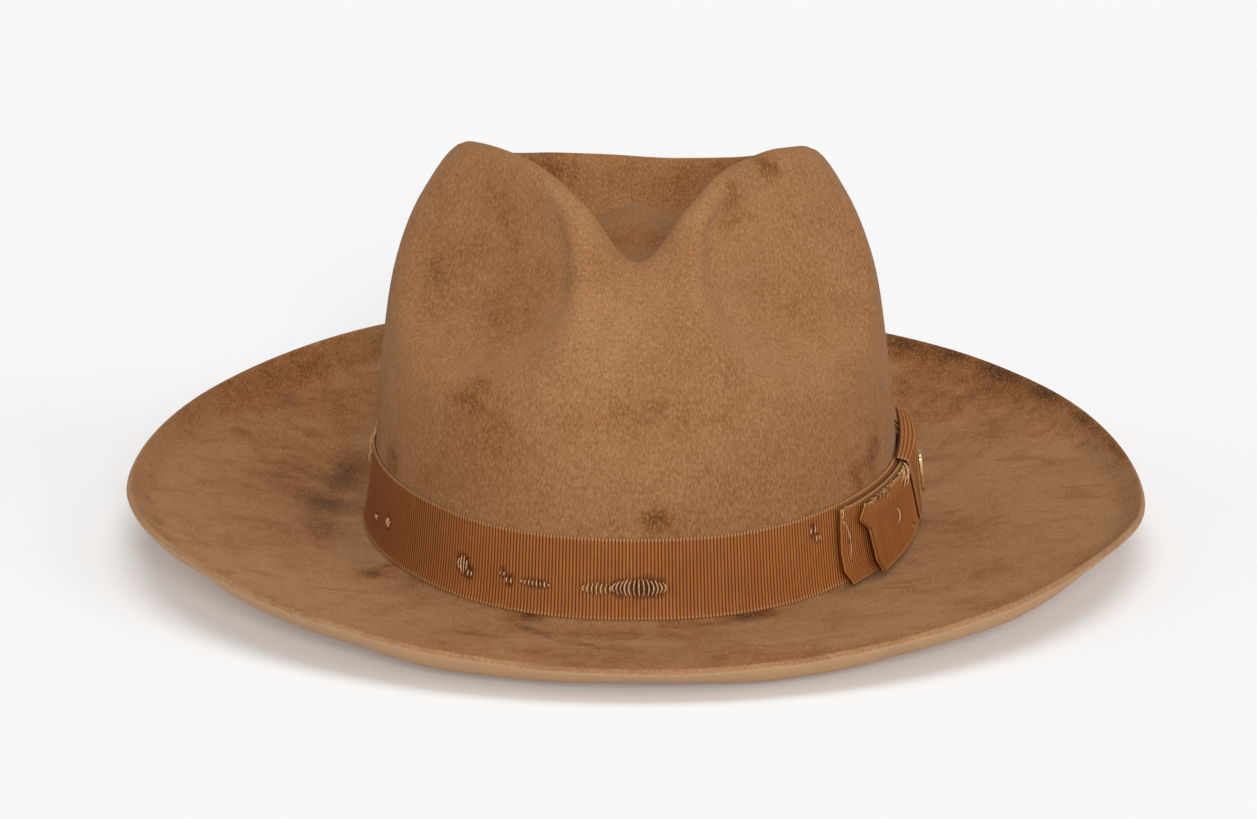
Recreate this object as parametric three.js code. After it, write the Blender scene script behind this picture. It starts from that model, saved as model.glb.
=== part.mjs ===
// Wide-brim felt fedora with a ribbed ribbon band, a flat bow and a small brass frame pin.
// Millimetres, +Z up. The hat stands on Z = 0 on the foot of its crown, its front faces -Y,
// and the bow is on the wearer's left, +X. Angles run in degrees from the front towards +X.

import * as THREE from 'three';

// The felt
const headWidth = 169.2;
const headLength = 202;
const brimWidthSide = 73.1;
const brimWidthFront = 70.5;
const brimLift = 30;
const crownHeight = 130.5;
const humpHeight = 101;
const humpSetBack = 25;
const humpSwell = 1;
const pinchDepth = 18;
const feltThickness = 2.2;
const breakRise = 2.2;

// The ribbon and its bow
const bandHeight = 25;
const bandClearOfBrim = 2;
const ribbonThickness = 1;
const fittingGap = 0.3;
const loopHollow = 0.5;
const loopLongLength = 73;
const loopShortLength = 62;
const loopShortFlare = 1.6;
const bowAngle = 88;
const bowSpan = 40;
const knotWidth = 25;

// The pin
const pinHeight = 12;
const pinWidth = 10.5;
const pinBar = 1.7;
const pinThickness = 1.4;

// Facets
const anglesRound = 72;
const loopStep = 6;
const foldSteps = 6;
const knotSteps = 6;

const radians = (degrees) => degrees * Math.PI / 180;

// Heights of the brim's underside, as shares of brimLift: at its edge, at the foot of the curl,
// at the middle of its width and at the break where the crown begins.
const brimRows = [
  { at: -150, edge: 0.997, foot: 0.592, middle: 0.177, seat: -0.003 },
  { at: -120, edge: 0.807, foot: 0.487, middle: 0.257, seat: 0.080 },
  { at: -90, edge: 0.612, foot: 0.397, middle: 0.287, seat: 0.137 },
  { at: -60, edge: 0.597, foot: 0.337, middle: 0.177, seat: 0.085 },
  { at: -30, edge: 0.387, foot: 0.157, middle: 0.067, seat: -0.003 },
  { at: 0, edge: 0.247, foot: 0.072, middle: 0.027, seat: -0.008 },
  { at: 30, edge: 0.347, foot: 0.127, middle: 0.057, seat: -0.003 },
  { at: 60, edge: 0.517, foot: 0.277, middle: 0.167, seat: 0.085 },
  { at: 90, edge: 0.492, foot: 0.337, middle: 0.267, seat: 0.137 },
  { at: 120, edge: 0.727, foot: 0.437, middle: 0.247, seat: 0.080 },
  { at: 150, edge: 0.892, foot: 0.567, middle: 0.177, seat: -0.003 },
  { at: 180, edge: 0.937, foot: 0.607, middle: 0.167, seat: -0.008 },
];

// The crown's outside, as shares of the head oval for how far out it stands, and of crownHeight
// for the height of its crest (top), of the slope inside the crest (fall) and of the crease (low).
const crownRows = [
  { at: -150, band: 0.966, wall: 0.937, shoulder: 0.895, upper: 0.815, crest: 0.700, top: 0.822,
    inner: 0.560, fall: 0.700, crease: 0.330, low: 0.680 },
  { at: -120, band: 0.962, wall: 0.932, shoulder: 0.884, upper: 0.790, crest: 0.670, top: 0.880,
    inner: 0.520, fall: 0.740, crease: 0.320, low: 0.690 },
  { at: -90, band: 0.960, wall: 0.935, shoulder: 0.880, upper: 0.775, crest: 0.640, top: 0.955,
    inner: 0.470, fall: 0.825, crease: 0.300, low: 0.695 },
  { at: -65, band: 0.962, wall: 0.932, shoulder: 0.886, upper: 0.790, crest: 0.615, top: 0.996,
    inner: 0.450, fall: 0.880, crease: 0.280, low: 0.700 },
  { at: -45, band: 0.964, wall: 0.932, shoulder: 0.880, upper: 0.785, crest: 0.610, top: 1.000,
    inner: 0.445, fall: 0.895, crease: 0.280, low: 0.705 },
  { at: -30, band: 0.966, wall: 0.930, shoulder: 0.868, upper: 0.770, crest: 0.630, top: 0.976,
    inner: 0.475, fall: 0.872, crease: 0.290, low: 0.710 },
  { at: -15, band: 0.968, wall: 0.930, shoulder: 0.868, upper: 0.775, crest: 0.665, top: 0.909,
    inner: 0.540, fall: 0.800, crease: 0.300, low: 0.715 },
  { at: 0, band: 0.968, wall: 0.930, shoulder: 0.868, upper: 0.790, crest: 0.690, top: 0.792,
    inner: 0.560, fall: 0.752, crease: 0.300, low: 0.722 },
  { at: 15, band: 0.968, wall: 0.930, shoulder: 0.868, upper: 0.775, crest: 0.665, top: 0.902,
    inner: 0.540, fall: 0.800, crease: 0.300, low: 0.715 },
  { at: 30, band: 0.966, wall: 0.930, shoulder: 0.868, upper: 0.770, crest: 0.630, top: 0.968,
    inner: 0.475, fall: 0.872, crease: 0.290, low: 0.710 },
  { at: 45, band: 0.964, wall: 0.930, shoulder: 0.880, upper: 0.785, crest: 0.610, top: 0.986,
    inner: 0.445, fall: 0.885, crease: 0.280, low: 0.705 },
  { at: 65, band: 0.962, wall: 0.928, shoulder: 0.884, upper: 0.790, crest: 0.615, top: 0.988,
    inner: 0.450, fall: 0.880, crease: 0.280, low: 0.700 },
  { at: 90, band: 0.960, wall: 0.925, shoulder: 0.870, upper: 0.770, crest: 0.640, top: 0.945,
    inner: 0.470, fall: 0.825, crease: 0.300, low: 0.695 },
  { at: 120, band: 0.962, wall: 0.928, shoulder: 0.880, upper: 0.785, crest: 0.670, top: 0.875,
    inner: 0.520, fall: 0.740, crease: 0.320, low: 0.690 },
  { at: 150, band: 0.966, wall: 0.935, shoulder: 0.895, upper: 0.815, crest: 0.700, top: 0.820,
    inner: 0.560, fall: 0.700, crease: 0.330, low: 0.680 },
  { at: 180, band: 0.968, wall: 0.940, shoulder: 0.905, upper: 0.830, crest: 0.712, top: 0.802,
    inner: 0.580, fall: 0.690, crease: 0.330, low: 0.675 },
];

// The two front pinches: angle, half angle, height and half height as shares of crownHeight,
// and depth as a share of pinchDepth. They fade out on the rings inside the shoulder, and the
// power pinchRim sets how soft their rim is.
const pinchRows = [
  { at: -46, halfAngle: 33, height: 0.76, halfHeight: 0.27, depth: 1 },
  { at: 46, halfAngle: 32, height: 0.77, halfHeight: 0.28, depth: 0.92 },
];
const pinchFade = { none: 0.5, full: 0.7 };
const pinchRim = 1.2;

// The rings of the brim from its edge inwards: how far out each lies, as a share of the brim's
// width, how its height is made up from the columns of brimRows, and the facets to the next ring.
const brimRings = [
  { out: 1, edge: 1, foot: 0, middle: 0, seat: 0, facets: 1 },
  { out: 0.955, edge: 0.55, foot: 0.45, middle: 0, seat: 0, facets: 1 },
  { out: 0.9, edge: 0.13, foot: 0.87, middle: 0, seat: 0, facets: 1 },
  { out: 0.8, edge: 0, foot: 1, middle: 0, seat: 0, facets: 2 },
  { out: 0.45, edge: 0, foot: 0, middle: 1, seat: 0, facets: 1 },
  { out: 0.17, edge: 0, foot: 0, middle: 0, seat: 1, facets: 1 },
  { out: 0.04, edge: 0, foot: 0, middle: 0, seat: 1, facets: 1 },
];

// The bend of the break: how far out it begins, as a share of the head oval, and how high, as a
// share of breakRise.
const breakBend = { out: 1.009, up: 0.2 };

// The rings of the crown's wall over its band: the column of crownRows that says how far out each
// lies, its height as a share of the way from the break to the crest, and its facets.
const wallRings = [
  { column: 'wall', up: 0.47, facets: 3 },
  { column: 'shoulder', up: 0.71, facets: 2 },
  { column: 'upper', up: 0.885, facets: 3 },
];

// A smooth value round the hat, through one column of a table.
function roundTheHat(rows, column, angle) {
  const count = rows.length;
  const turned = ((angle - rows[0].at) % 360 + 360) % 360 + rows[0].at;
  let i = count - 1;
  while (rows[i].at > turned) i -= 1;
  const row = (k) => rows[(k + count) % count];
  const place = (k) => row(k).at + 360 * Math.floor(k / count);
  const slope = (k) => (row(k + 1)[column] - row(k - 1)[column]) / (place(k + 1) - place(k - 1));
  const step = place(i + 1) - place(i);
  const t = (turned - place(i)) / step;
  const start = row(i)[column];
  const end = row(i + 1)[column];
  return start + t * t * (3 - 2 * t) * (end - start)
    + t * (1 - t) * step * ((1 - t) * slope(i) - t * slope(i + 1));
}

// Height of the felt's upper face at the break, where the brim turns up into the crown.
function breakHeight(angle) {
  return feltThickness + brimLift * roundTheHat(brimRows, 'seat', angle);
}

function brimStation(angle, ring) {
  const x = (headWidth / 2 + brimWidthSide * ring.out) * Math.sin(radians(angle));
  const y = -(headLength / 2 + brimWidthFront * ring.out) * Math.cos(radians(angle));
  const share = ['edge', 'foot', 'middle', 'seat'].reduce((sum, column) => (
    sum + ring[column] * roundTheHat(brimRows, column, angle)), 0);
  return new THREE.Vector3(x, y, feltThickness + brimLift * share);
}

// A ring of the crown; the rings inside its crest close round the hump, which is set back.
function crownStation(angle, share, height) {
  const x = headWidth / 2 * share * Math.sin(radians(angle));
  const y = -headLength / 2 * share * Math.cos(radians(angle));
  return new THREE.Vector3(x, y + humpSetBack * Math.max(1 - share, 0), height);
}

// The felt's upper face along one line from the brim's edge to the middle of the crown.
// Each station says how many facets lie between it and the next one.
function feltStations(angle) {
  const crown = (column) => roundTheHat(crownRows, column, angle);
  const seat = breakHeight(angle);
  const crest = crown('top') * crownHeight;
  const crease = crown('low') * crownHeight;
  const bandTop = seat + bandClearOfBrim + bandHeight;
  const station = (share, height, facets) => (
    { point: crownStation(angle, share, height), facets });
  return [
    ...brimRings.map((ring) => ({ point: brimStation(angle, ring), facets: ring.facets })),
    station(breakBend.out, seat + breakRise * breakBend.up, 1),
    station(1, seat + breakRise, 2),
    station(crown('band'), bandTop, 2),
    ...wallRings.map(({ column, up, facets }) => (
      station(crown(column), seat + (crest - seat) * up, facets))),
    station(crown('crest'), crest, 3),
    station(crown('inner'), crown('fall') * crownHeight, 3),
    station(crown('crease'), crease, 2),
    station(crown('crease') / 2, (crease + humpHeight) / 2 + humpSwell, 2),
    station(0, humpHeight, 0),
  ];
}

const stationCount = feltStations(0).length;
const breakStation = brimRings.length - 1;
const shoulderStation = breakStation + 3 + wallRings.length - 1;
const feltLines = new Map();

function feltLine(angle) {
  const key = angle.toFixed(4);
  if (!feltLines.has(key)) {
    const points = feltStations(angle).map((station) => station.point);
    const beyond = feltStations(angle + 180)[stationCount - 2].point;
    feltLines.set(key, new THREE.CatmullRomCurve3([...points, beyond], false, 'centripetal'));
  }
  return feltLines.get(key);
}

// How far a pinch pushes the crown's wall in towards its middle.
function pinchPush(angle, point) {
  const ring = Math.hypot(point.x / headWidth, point.y / headLength) * 2;
  const onWall = THREE.MathUtils.clamp(
    (ring - pinchFade.none) / (pinchFade.full - pinchFade.none), 0, 1);
  let push = 0;
  for (const pinch of pinchRows) {
    const across = ((angle - pinch.at + 540) % 360 - 180) / pinch.halfAngle;
    const upward = (point.z / crownHeight - pinch.height) / pinch.halfHeight;
    push += Math.max(1 - across ** 2 - upward ** 2, 0) ** pinchRim * pinch.depth * pinchDepth;
  }
  return push * onWall;
}

// A point of the felt's upper face; line counts the stations from 0 at the brim's edge.
function feltPoint(angle, line) {
  const point = feltLine(angle).getPoint(line / stationCount);
  const inward = new THREE.Vector3(-point.x, -point.y, 0);
  if (inward.length() < 1e-6) return point;
  return point.addScaledVector(inward.normalize(), pinchPush(angle, point));
}

function feltNormal(angle, line) {
  const last = stationCount - 1;
  if (line >= last) return new THREE.Vector3(0, 0, 1);
  const small = 0.02;
  const before = Math.max(line - small, 0);
  const along = feltPoint(angle, line + small).sub(feltPoint(angle, before));
  const round = feltPoint(angle + 0.5, line).sub(feltPoint(angle - 0.5, line));
  return round.cross(along).normalize();
}

function feltUnderside(angle, line) {
  const point = feltPoint(angle, line).addScaledVector(feltNormal(angle, line), -feltThickness);
  point.z = Math.max(point.z, 0);
  return point;
}

// A spot on the crown's wall, at a height over the break and standing off the felt. Below the
// curve of the break the spot stays plumb under the wall.
function wallSpot(angle, height, standOff) {
  const seat = breakHeight(angle);
  const target = seat + Math.max(height, breakRise);
  let low = breakStation + 1;
  let high = shoulderStation;
  for (let i = 0; i < 30; i += 1) {
    const middle = (low + high) / 2;
    if (feltPoint(angle, middle).z < target) low = middle;
    else high = middle;
  }
  const normal = feltNormal(angle, low);
  normal.z = 0;
  const spot = feltPoint(angle, low).addScaledVector(normal.normalize(), standOff);
  spot.z = seat + height;
  return spot;
}

// Millimetres along the wall for one degree, at the bow.
const bowReach = wallSpot(bowAngle - bowSpan / 2, bandHeight / 2, 0)
  .distanceTo(wallSpot(bowAngle + bowSpan / 2, bandHeight / 2, 0)) / bowSpan;

function meshOf(name, vertices, faces, material) {
  const geometry = new THREE.BufferGeometry();
  const numbers = vertices.flatMap((vertex) => [vertex.x, vertex.y, vertex.z]);
  geometry.setAttribute('position', new THREE.Float32BufferAttribute(numbers, 3));
  geometry.setIndex(faces.flat());
  geometry.computeVertexNormals();
  const mesh = new THREE.Mesh(geometry, material);
  mesh.name = name;
  return mesh;
}

function volumeOf(vertices, faces) {
  const cross = new THREE.Vector3();
  return faces.reduce((sum, [a, b, c]) => (
    sum + cross.crossVectors(vertices[b], vertices[c]).dot(vertices[a]) / 6), 0);
}

// A closed solid from an outline carried through a run of places; place(spot, k) gives the point.
function sweptSolid(name, outline, places, closed, place, material) {
  const size = outline.length;
  const vertices = places.flatMap((k) => outline.map((spot) => place(spot, k)));
  const faces = [];
  const runs = closed ? places.length : places.length - 1;
  for (let k = 0; k < runs; k += 1) {
    const here = k * size;
    const next = (k + 1) % places.length * size;
    for (let i = 0; i < size; i += 1) {
      const j = (i + 1) % size;
      faces.push([here + i, here + j, next + j], [here + i, next + j, next + i]);
    }
  }
  if (!closed) {
    const last = (places.length - 1) * size;
    for (const [a, b, c] of THREE.ShapeUtils.triangulateShape(outline, [])) {
      faces.push([a, c, b], [last + a, last + b, last + c]);
    }
  }
  if (volumeOf(vertices, faces) < 0) faces.forEach((face) => face.reverse());
  return meshOf(name, vertices, faces, material);
}

// One felt body, crown and brim: an upper face, an underside and the raw cut edge between them.
function feltBody(material) {
  const lines = feltStations(0).flatMap((station, k) => (
    Array.from({ length: station.facets }, (_, i) => k + i / station.facets)));
  const vertices = [];
  const faces = [];
  const ring = (row, i) => row * anglesRound + (i % anglesRound);
  const rings = [];
  for (const face of [feltPoint, feltUnderside]) {
    for (const line of lines) {
      rings.push(Array.from({ length: anglesRound }, (_, i) => face(360 * i / anglesRound, line)));
    }
  }
  vertices.push(...rings.flat());
  const count = lines.length;
  for (let i = 0; i < anglesRound; i += 1) {
    for (let row = 0; row < count - 1; row += 1) {
      const above = [ring(row, i), ring(row, i + 1), ring(row + 1, i + 1), ring(row + 1, i)];
      faces.push([above[0], above[1], above[2]], [above[0], above[2], above[3]]);
      const below = above.map((index) => index + count * anglesRound);
      faces.push([below[0], below[2], below[1]], [below[0], below[3], below[2]]);
    }
    const edge = [ring(0, i), ring(0, i + 1), ring(count, i + 1), ring(count, i)];
    faces.push([edge[0], edge[2], edge[1]], [edge[0], edge[3], edge[2]]);
  }
  const middles = [feltPoint(0, stationCount - 1), feltUnderside(0, stationCount - 1)];
  vertices.push(...middles);
  const top = vertices.length - 2;
  for (let i = 0; i < anglesRound; i += 1) {
    faces.push([ring(count - 1, i), ring(count - 1, i + 1), top]);
    faces.push([ring(2 * count - 1, i), top + 1, ring(2 * count - 1, i + 1)]);
  }
  if (volumeOf(vertices, faces) < 0) faces.forEach((face) => face.reverse());
  return meshOf('felt_body', vertices, faces, material);
}

const bandFace = fittingGap;
const bandOutside = bandFace + ribbonThickness;
const loopDepth = 2 * ribbonThickness + loopHollow;
const lowerLoopFace = bandOutside + fittingGap;
const upperLoopFace = lowerLoopFace + loopDepth + fittingGap;
const knotFace = upperLoopFace + loopDepth + fittingGap;

// The band, one ribbon sewn into a ring round the foot of the crown.
function ribbonBand(material) {
  const outline = [];
  const rows = 2;
  for (let i = 0; i <= rows; i += 1) outline.push(new THREE.Vector2(i / rows, bandFace));
  for (let i = rows; i >= 0; i -= 1) outline.push(new THREE.Vector2(i / rows, bandOutside));
  const angles = Array.from({ length: anglesRound }, (_, i) => 360 * i / anglesRound);
  const place = (spot, angle) => wallSpot(angle, bandClearOfBrim + spot.x * bandHeight, spot.y);
  return sweptSolid('ribbon_band', outline, angles, true, place, material);
}

// A loop of the bow: ribbon laid out along the band, folded back on itself and hollow inside.
// The path runs in the plane of along the wall (x) and off the wall (y), with its own normal.
function bowLoop({ name, way, length, face, flare }, material) {
  const radius = (ribbonThickness + loopHollow) / 2;
  const middle = face + loopDepth / 2;
  const straight = length - loopDepth / 2;
  const start = fittingGap;
  const steps = Math.ceil((straight - start) / loopStep);
  const path = [];
  for (let k = 0; k <= steps; k += 1) {
    path.push({ x: start + (straight - start) * k / steps, y: middle - radius, turn: -90 });
  }
  for (let k = 1; k < foldSteps; k += 1) {
    const turn = -90 + 180 * k / foldSteps;
    const x = straight + radius * Math.cos(radians(turn));
    path.push({ x, y: middle + radius * Math.sin(radians(turn)), turn });
  }
  for (let k = steps; k >= 0; k -= 1) {
    path.push({ x: path[k].x, y: middle + radius, turn: 90 });
  }
  const rows = 3;
  const outline = [];
  for (let i = 0; i <= rows; i += 1) outline.push(new THREE.Vector2(i / rows, -0.5));
  for (let i = rows; i >= 0; i -= 1) outline.push(new THREE.Vector2(i / rows, 0.5));
  const free = knotWidth / 2;
  const place = (spot, { x, y, turn }) => {
    const along = x + spot.y * ribbonThickness * Math.cos(radians(turn));
    const lift = flare * (Math.max(along - free, 0) / (length - free)) ** 2;
    const off = y + spot.y * ribbonThickness * Math.sin(radians(turn)) + lift;
    const height = bandClearOfBrim + fittingGap + spot.x * (bandHeight - 2 * fittingGap);
    return wallSpot(bowAngle + way * along / bowReach, height, off);
  };
  return sweptSolid(name, outline, path, false, place, material);
}

// The knot, a strip of ribbon wrapped over the middle of the loops and under their edges.
function bowKnot(material) {
  const low = bandClearOfBrim - ribbonThickness;
  const high = bandClearOfBrim + bandHeight + ribbonThickness;
  const back = lowerLoopFace;
  const front = knotFace + ribbonThickness;
  const middle = (low + high) / 2;
  const outline = [
    new THREE.Vector2(low, back),
    new THREE.Vector2(low + ribbonThickness, back),
    new THREE.Vector2(low + ribbonThickness, knotFace),
    new THREE.Vector2(middle, knotFace),
    new THREE.Vector2(high - ribbonThickness, knotFace),
    new THREE.Vector2(high - ribbonThickness, back),
    new THREE.Vector2(high, back),
    new THREE.Vector2(high, front),
    new THREE.Vector2(middle, front),
    new THREE.Vector2(low, front),
  ];
  const half = knotWidth / 2 / bowReach;
  const angles = Array.from({ length: knotSteps + 1 }, (_, i) => (
    bowAngle + half * (2 * i / knotSteps - 1)));
  const place = (spot, angle) => wallSpot(angle, spot.x, spot.y);
  return sweptSolid('bow_knot', outline, angles, false, place, material);
}

// A plain open frame of brass wire, pinned flat on the knot.
function brassPin(material) {
  const frame = new THREE.Shape([
    new THREE.Vector2(-pinWidth / 2, -pinHeight / 2),
    new THREE.Vector2(pinWidth / 2, -pinHeight / 2),
    new THREE.Vector2(pinWidth / 2, pinHeight / 2),
    new THREE.Vector2(-pinWidth / 2, pinHeight / 2),
  ]);
  frame.holes.push(new THREE.Path([
    new THREE.Vector2(-pinWidth / 2 + pinBar, -pinHeight / 2 + pinBar),
    new THREE.Vector2(-pinWidth / 2 + pinBar, pinHeight / 2 - pinBar),
    new THREE.Vector2(pinWidth / 2 - pinBar, pinHeight / 2 - pinBar),
    new THREE.Vector2(pinWidth / 2 - pinBar, -pinHeight / 2 + pinBar),
  ]));
  const geometry = new THREE.ExtrudeGeometry(frame, { depth: pinThickness, bevelEnabled: false });
  const mesh = new THREE.Mesh(geometry, material);
  mesh.name = 'brass_pin';
  const knotMiddle = bandClearOfBrim + bandHeight / 2;
  const standOff = knotFace + ribbonThickness + fittingGap;
  const foot = wallSpot(bowAngle, knotMiddle - pinHeight / 2, standOff);
  const head = wallSpot(bowAngle, knotMiddle + pinHeight / 2, standOff);
  const upward = head.clone().sub(foot).normalize();
  const out = wallSpot(bowAngle, knotMiddle, standOff + 1)
    .sub(wallSpot(bowAngle, knotMiddle, standOff));
  const along = upward.clone().cross(out).normalize();
  out.crossVectors(along, upward).normalize();
  mesh.quaternion.setFromRotationMatrix(new THREE.Matrix4().makeBasis(along, upward, out));
  mesh.position.copy(foot.add(head).multiplyScalar(0.5));
  return mesh;
}

const felt = new THREE.MeshStandardMaterial({ color: 0xa97b52, roughness: 0.95, metalness: 0 });
const ribbon = new THREE.MeshStandardMaterial({ color: 0x9a5f33, roughness: 0.7, metalness: 0 });
const brass = new THREE.MeshStandardMaterial({ color: 0xb98a45, roughness: 0.3, metalness: 1 });

const bowLoops = [
  { name: 'bow_loop_front_lower', way: -1, length: loopLongLength, face: lowerLoopFace, flare: 0 },
  { name: 'bow_loop_front_upper', way: -1, length: loopShortLength, face: upperLoopFace,
    flare: loopShortFlare },
  { name: 'bow_loop_back_lower', way: 1, length: loopLongLength, face: lowerLoopFace, flare: 0 },
  { name: 'bow_loop_back_upper', way: 1, length: loopShortLength, face: upperLoopFace,
    flare: loopShortFlare },
];

const hat = new THREE.Group();
hat.add(feltBody(felt), ribbonBand(ribbon), bowKnot(ribbon), brassPin(brass));
for (const loop of bowLoops) hat.add(bowLoop(loop, ribbon));

// The origin lies on the ground under the middle of the hat's box.
hat.updateMatrixWorld(true);
const box = new THREE.Box3().setFromObject(hat);
hat.position.set(-(box.min.x + box.max.x) / 2, -(box.min.y + box.max.y) / 2, 0);
hat.updateMatrixWorld(true);

export default hat;
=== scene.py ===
"""Wide-brim felt fedora: the looks of its felt, ribbon, bow and pin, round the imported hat."""

import math

import bpy
import numpy as np
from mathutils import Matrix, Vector


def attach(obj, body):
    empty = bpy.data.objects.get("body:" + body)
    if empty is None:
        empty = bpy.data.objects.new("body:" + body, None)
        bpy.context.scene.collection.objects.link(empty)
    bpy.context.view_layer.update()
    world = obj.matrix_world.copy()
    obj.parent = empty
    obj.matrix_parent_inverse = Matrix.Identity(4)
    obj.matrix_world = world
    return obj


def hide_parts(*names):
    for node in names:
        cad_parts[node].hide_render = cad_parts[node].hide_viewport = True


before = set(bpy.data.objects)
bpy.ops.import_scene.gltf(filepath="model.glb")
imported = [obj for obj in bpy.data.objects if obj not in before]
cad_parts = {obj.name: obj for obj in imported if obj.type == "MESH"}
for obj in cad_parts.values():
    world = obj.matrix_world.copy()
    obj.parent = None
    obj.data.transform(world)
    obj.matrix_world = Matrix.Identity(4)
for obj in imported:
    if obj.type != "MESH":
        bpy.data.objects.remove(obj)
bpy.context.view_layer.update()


# Camera, floor and light
# The hat is seen from in front and a little above, on a pale seamless floor in soft light.
look_at = Vector((0.00014, -0.00024, 0.040))
camera_distance = 2.0
camera_elevation = math.radians(15)
camera_nudge_x = -0.00242
camera_nudge_up = 0.00113
lens_length = 183.26
floor_half = 4
floor_glow = 0.12
world_glow = 0.28

back = Vector((0, -math.cos(camera_elevation), math.sin(camera_elevation)))
upward = Vector((0, math.sin(camera_elevation), math.cos(camera_elevation)))
camera = bpy.data.objects.new("camera", bpy.data.cameras.new("camera"))
camera.data.sensor_width = 36
camera.data.lens = lens_length
camera.data.clip_start = 0.1
camera.data.clip_end = 20
camera.rotation_mode = "QUATERNION"
camera.rotation_quaternion = (-back).to_track_quat("-Z", "Y")
camera.location = look_at + back * camera_distance + upward * camera_nudge_up
camera.location.x += camera_nudge_x
bpy.context.collection.objects.link(camera)
bpy.context.scene.camera = camera

floor_mesh = bpy.data.meshes.new("floor")
floor_mesh.from_pydata(
    [(-floor_half, -floor_half, 0), (floor_half, -floor_half, 0),
     (floor_half, floor_half, 0), (-floor_half, floor_half, 0)], [], [(0, 1, 2, 3)])
floor = bpy.data.objects.new("floor", floor_mesh)
bpy.context.collection.objects.link(floor)
paper = bpy.data.materials.new("floor_paper")
paper.use_nodes = True
paper_shader = paper.node_tree.nodes["Principled BSDF"]
paper_shader.inputs["Base Color"].default_value = (0.90, 0.90, 0.90, 1)
paper_shader.inputs["Emission Color"].default_value = (1, 1, 1, 1)
paper_shader.inputs["Emission Strength"].default_value = floor_glow
paper_shader.inputs["Roughness"].default_value = 0.9
paper_shader.inputs["Specular IOR Level"].default_value = 0.1
floor_mesh.materials.append(paper)

world = bpy.data.worlds.new("studio")
world.use_nodes = True
world.node_tree.nodes["Background"].inputs["Color"].default_value = (1, 1, 1, 1)
world.node_tree.nodes["Background"].inputs["Strength"].default_value = world_glow
bpy.context.scene.world = world

# Each lamp is a wide soft sun: name, where it shines from, its angle across in degrees, strength.
lamps = [
    ("front_lamp", (0.10, -1.0, 0.38), 18, 1.50),
    ("top_lamp", (0.05, 0.20, 1.0), 50, 1.15),
    ("right_lamp", (0.9, -0.55, 0.45), 34, 0.55),
    ("left_lamp", (-1.0, -0.20, 0.50), 34, 0.28),
]
for name, source, across, strength in lamps:
    lamp = bpy.data.lights.new(name, "SUN")
    lamp.angle = math.radians(across)
    lamp.energy = strength
    holder = bpy.data.objects.new(name, lamp)
    holder.rotation_mode = "QUATERNION"
    holder.location = source
    holder.rotation_quaternion = (-Vector(source)).to_track_quat("-Z", "Y")
    bpy.context.collection.objects.link(holder)
bpy.context.scene.view_settings.view_transform = "Standard"


# Felt body
# One piece of tan fur felt, crown and brim, with a raw cut edge. The crown has a teardrop dent
# round a low hump and two front pinches. Handling has left dark stains and a worn, brushed nap.
# The colour also holds painted light: a painted highlight over the crown's front, painted sheen
# on the brim, painted bounce light on the underside, and painted shade in the dent.
head_width = 169.2
head_length = 202.0
brim_width_side = 73.1
brim_width_front = 70.5
brim_lift = 30.0
crown_height = 130.5
hump_height = 101.0
hump_set_back = 25.0
pinch_depth = 18.0
felt_thickness = 2.2
break_rise = 2.2
band_height = 25.0
band_clear_of_brim = 2.0
centring = np.array([0.137, -0.239, 0.0])
angles_round = 400
steps_per_station = 6

# Heights of the brim's underside as shares of its lift, by angle from the front to the bow side.
brim_columns = ("at", "edge", "foot", "middle", "seat")
brim_rows = [
    (-150, 0.997, 0.592, 0.177, -0.003),
    (-120, 0.807, 0.487, 0.257, 0.080),
    (-90, 0.612, 0.397, 0.287, 0.137),
    (-60, 0.597, 0.337, 0.177, 0.085),
    (-30, 0.387, 0.157, 0.067, -0.003),
    (0, 0.247, 0.072, 0.027, -0.008),
    (30, 0.347, 0.127, 0.057, -0.003),
    (60, 0.517, 0.277, 0.167, 0.085),
    (90, 0.492, 0.337, 0.267, 0.137),
    (120, 0.727, 0.437, 0.247, 0.080),
    (150, 0.892, 0.567, 0.177, -0.003),
    (180, 0.937, 0.607, 0.167, -0.008),
]
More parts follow.
